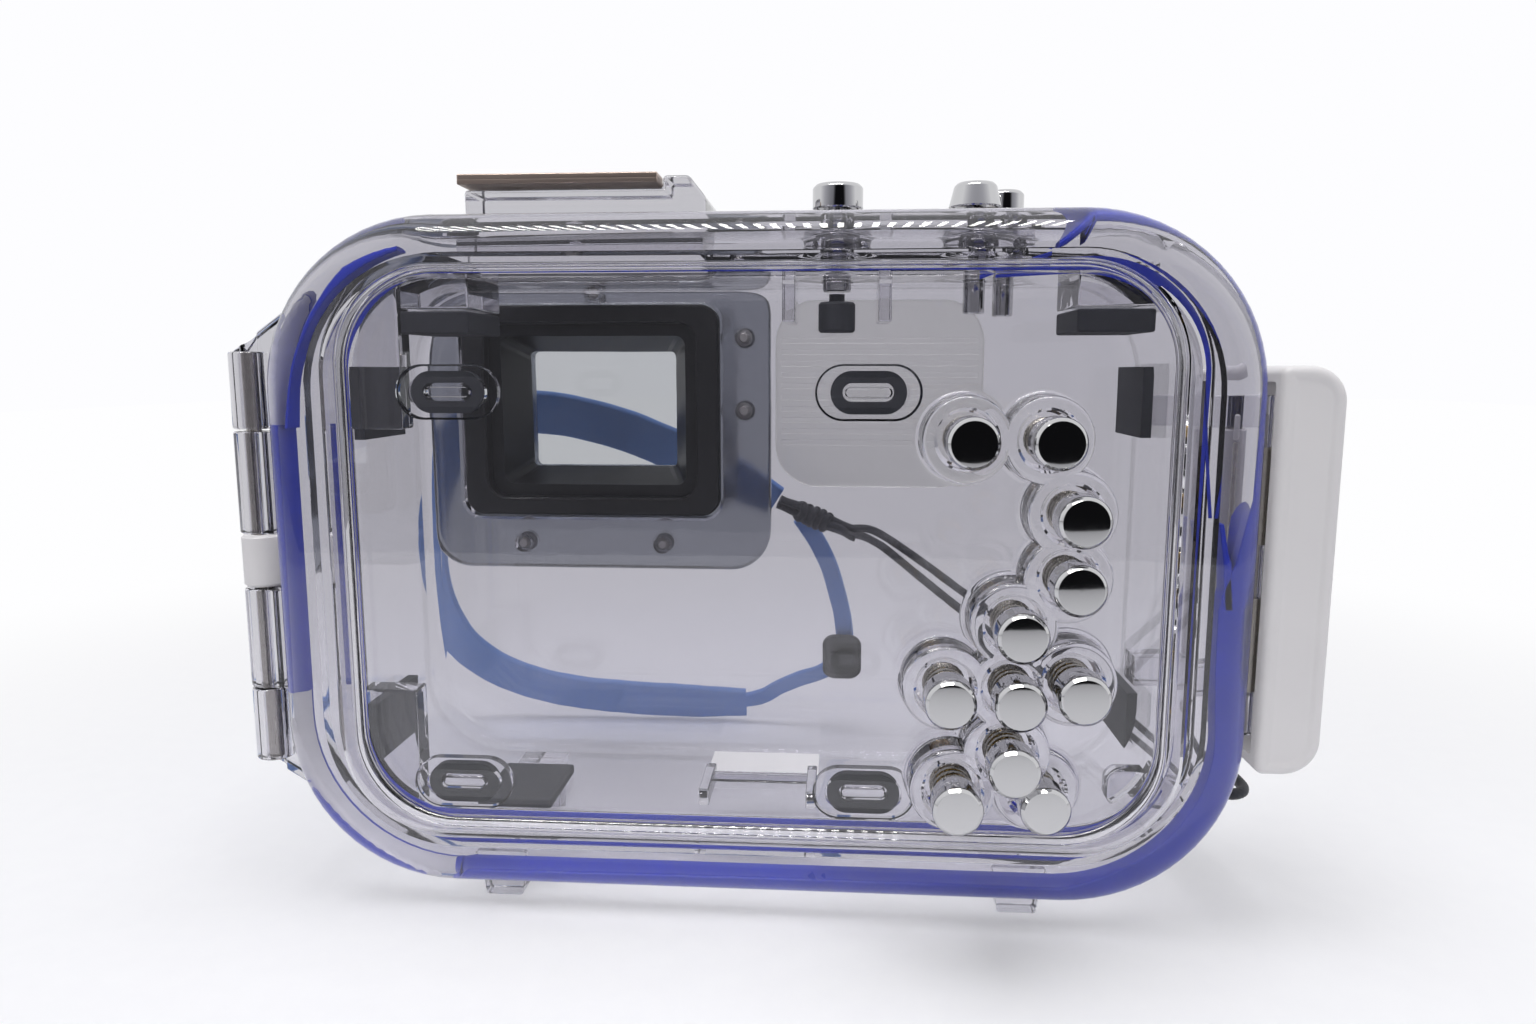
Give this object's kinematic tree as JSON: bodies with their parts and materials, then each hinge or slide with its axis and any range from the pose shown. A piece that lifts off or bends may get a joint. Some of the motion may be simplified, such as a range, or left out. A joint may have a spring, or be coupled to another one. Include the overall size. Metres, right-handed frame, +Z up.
{
  "type": "underwater camera housing",
  "caption": "Clear hinged waterproof case for a compact camera, with push buttons through its walls, a lens port, a toggle latch and a wrist strap.",
  "frame": {"origin": "middle of the housing's footprint, on the surface its four feet stand on; the strap is left out", "axes": "+X to the right seen from behind, towards the latch; +Y forwards through the lens port; +Z up"},
  "size_m": [0.1504, 0.0986, 0.103],
  "materials": {
    "clear_polycarbonate": "polished, clear",
    "smoke_polycarbonate": "translucent, smoky, satin inside",
    "port_glass": "polished flat glass",
    "frosted_plastic": "frosted",
    "white_plastic": "satin",
    "black_plastic": "satin",
    "black_rubber": "matt",
    "blue_silicone": "satin",
    "strap_silicone": "satin",
    "black_cord": "braided",
    "label_film": "satin film",
    "chrome_metal": "polished",
    "steel": "brushed"
  },
  "bodies": {
    "case": {"front_case": "clear_polycarbonate", "port_housing": "smoke_polycarbonate", "port_hood": "black_plastic", "port_glass": "port_glass", "flash_diffuser": "frosted_plastic", "shoe_plate": "steel", "hinge_pin": "steel", "hinge_bush": "white_plastic", "lever_pin": "steel", "blank_label": "label_film", "pad_left_upper": "black_rubber", "pad_left_lower": "black_rubber", "pad_right_upper": "black_rubber", "pad_right_lower": "black_rubber", "pad_floor": "black_rubber", "pad_top_left": "black_rubber", "pad_top_right": "black_rubber", "port_screw_1": "steel", "port_screw_2": "steel", "port_screw_3": "steel", "port_screw_4": "steel", "port_screw_5": "steel", "strap_band": "strap_silicone", "strap_link": "strap_silicone", "strap_cord_1": "black_cord", "strap_cord_2": "black_cord", "strap_knot": "black_cord", "strap_slider": "black_plastic"},
    "cover": {"rear_cover": "clear_polycarbonate", "main_seal": "blue_silicone", "lcd_cushion_1": "black_rubber", "lcd_cushion_2": "black_rubber", "lcd_cushion_3": "black_rubber", "lcd_cushion_4": "black_rubber"},
    "lever": {"latch_lever": "white_plastic", "hook_pin": "steel"},
    "hook": {"latch_hook": "steel"},
    "lock": {"lock_slider": "white_plastic"},
    "power": {"power_button": "chrome_metal", "power_tip": "black_rubber"},
    "shutter": {"shutter_button": "chrome_metal"},
    "movie": {"movie_button": "chrome_metal"},
    "button_01": {"rear_button_01": "chrome_metal"},
    "button_02": {"rear_button_02": "chrome_metal"},
    "button_03": {"rear_button_03": "chrome_metal"},
    "button_04": {"rear_button_04": "chrome_metal"},
    "button_05": {"rear_button_05": "chrome_metal"},
    "button_06": {"rear_button_06": "chrome_metal"},
    "button_07": {"rear_button_07": "chrome_metal"},
    "button_08": {"rear_button_08": "chrome_metal"},
    "button_09": {"rear_button_09": "chrome_metal"},
    "button_10": {"rear_button_10": "chrome_metal"},
    "button_11": {"rear_button_11": "chrome_metal"}
  },
  "joints": [
    {"name": "cover_hinge", "type": "hinge", "parent": "case", "child": "cover", "pos_m": [-0.0702, -0.0155, 0.0498], "axis": [0, 0, -1], "range_deg": [0, 120]},
    {"name": "lever_turn", "type": "hinge", "parent": "case", "child": "lever", "pos_m": [0.0675, 0.0051, 0.0506], "axis": [0, 0, 1], "range_deg": [0, 100]},
    {"name": "hook_turn", "type": "hinge", "parent": "lever", "child": "hook", "pos_m": [0.0655, -0.0065, 0.0506], "axis": [0, 0, 1], "range_deg": [-35, 0]},
    {"name": "lock_slide", "type": "slide", "parent": "lever", "child": "lock", "axis": [0, 0, 1], "range_m": [0, 0.003]},
    {"name": "press_01", "type": "slide", "parent": "cover", "child": "button_01", "axis": [0, 1, 0], "range_m": [0, 0.002], "stiffness_N_per_m": 900, "springref_m": -0.001},
    {"name": "press_02", "type": "slide", "parent": "cover", "child": "button_02", "axis": [0, 1, 0], "range_m": [0, 0.002], "stiffness_N_per_m": 900, "springref_m": -0.001},
    {"name": "press_03", "type": "slide", "parent": "cover", "child": "button_03", "axis": [0, 1, 0], "range_m": [0, 0.002], "stiffness_N_per_m": 900, "springref_m": -0.001},
    {"name": "press_04", "type": "slide", "parent": "cover", "child": "button_04", "axis": [0, 1, 0], "range_m": [0, 0.002], "stiffness_N_per_m": 900, "springref_m": -0.001},
    {"name": "press_05", "type": "slide", "parent": "cover", "child": "button_05", "axis": [0, 1, 0], "range_m": [0, 0.002], "stiffness_N_per_m": 900, "springref_m": -0.001},
    {"name": "press_06", "type": "slide", "parent": "cover", "child": "button_06", "axis": [0, 1, 0], "range_m": [0, 0.002], "stiffness_N_per_m": 900, "springref_m": -0.001},
    {"name": "press_07", "type": "slide", "parent": "cover", "child": "button_07", "axis": [0, 1, 0], "range_m": [0, 0.002], "stiffness_N_per_m": 900, "springref_m": -0.001},
    {"name": "press_08", "type": "slide", "parent": "cover", "child": "button_08", "axis": [0, 1, 0], "range_m": [0, 0.002], "stiffness_N_per_m": 900, "springref_m": -0.001},
    {"name": "press_09", "type": "slide", "parent": "cover", "child": "button_09", "axis": [0, 1, 0], "range_m": [0, 0.002], "stiffness_N_per_m": 900, "springref_m": -0.001},
    {"name": "press_10", "type": "slide", "parent": "cover", "child": "button_10", "axis": [0, 1, 0], "range_m": [0, 0.002], "stiffness_N_per_m": 900, "springref_m": -0.001},
    {"name": "press_11", "type": "slide", "parent": "cover", "child": "button_11", "axis": [0, 1, 0], "range_m": [0, 0.002], "stiffness_N_per_m": 900, "springref_m": -0.001},
    {"name": "press_power", "type": "slide", "parent": "case", "child": "power", "axis": [0, 0, -1], "range_m": [0, 0.0015], "stiffness_N_per_m": 900, "springref_m": -0.001},
    {"name": "press_shutter", "type": "slide", "parent": "case", "child": "shutter", "axis": [0, 0, -1], "range_m": [0, 0.0015], "stiffness_N_per_m": 900, "springref_m": -0.001},
    {"name": "press_movie", "type": "slide", "parent": "case", "child": "movie", "axis": [0, 0, -1], "range_m": [0, 0.0015], "stiffness_N_per_m": 900, "springref_m": -0.001}
  ],
  "couplings": [
    {"joint": "hook_turn", "follows": "lever_turn", "ratio": -0.35}
  ]
}
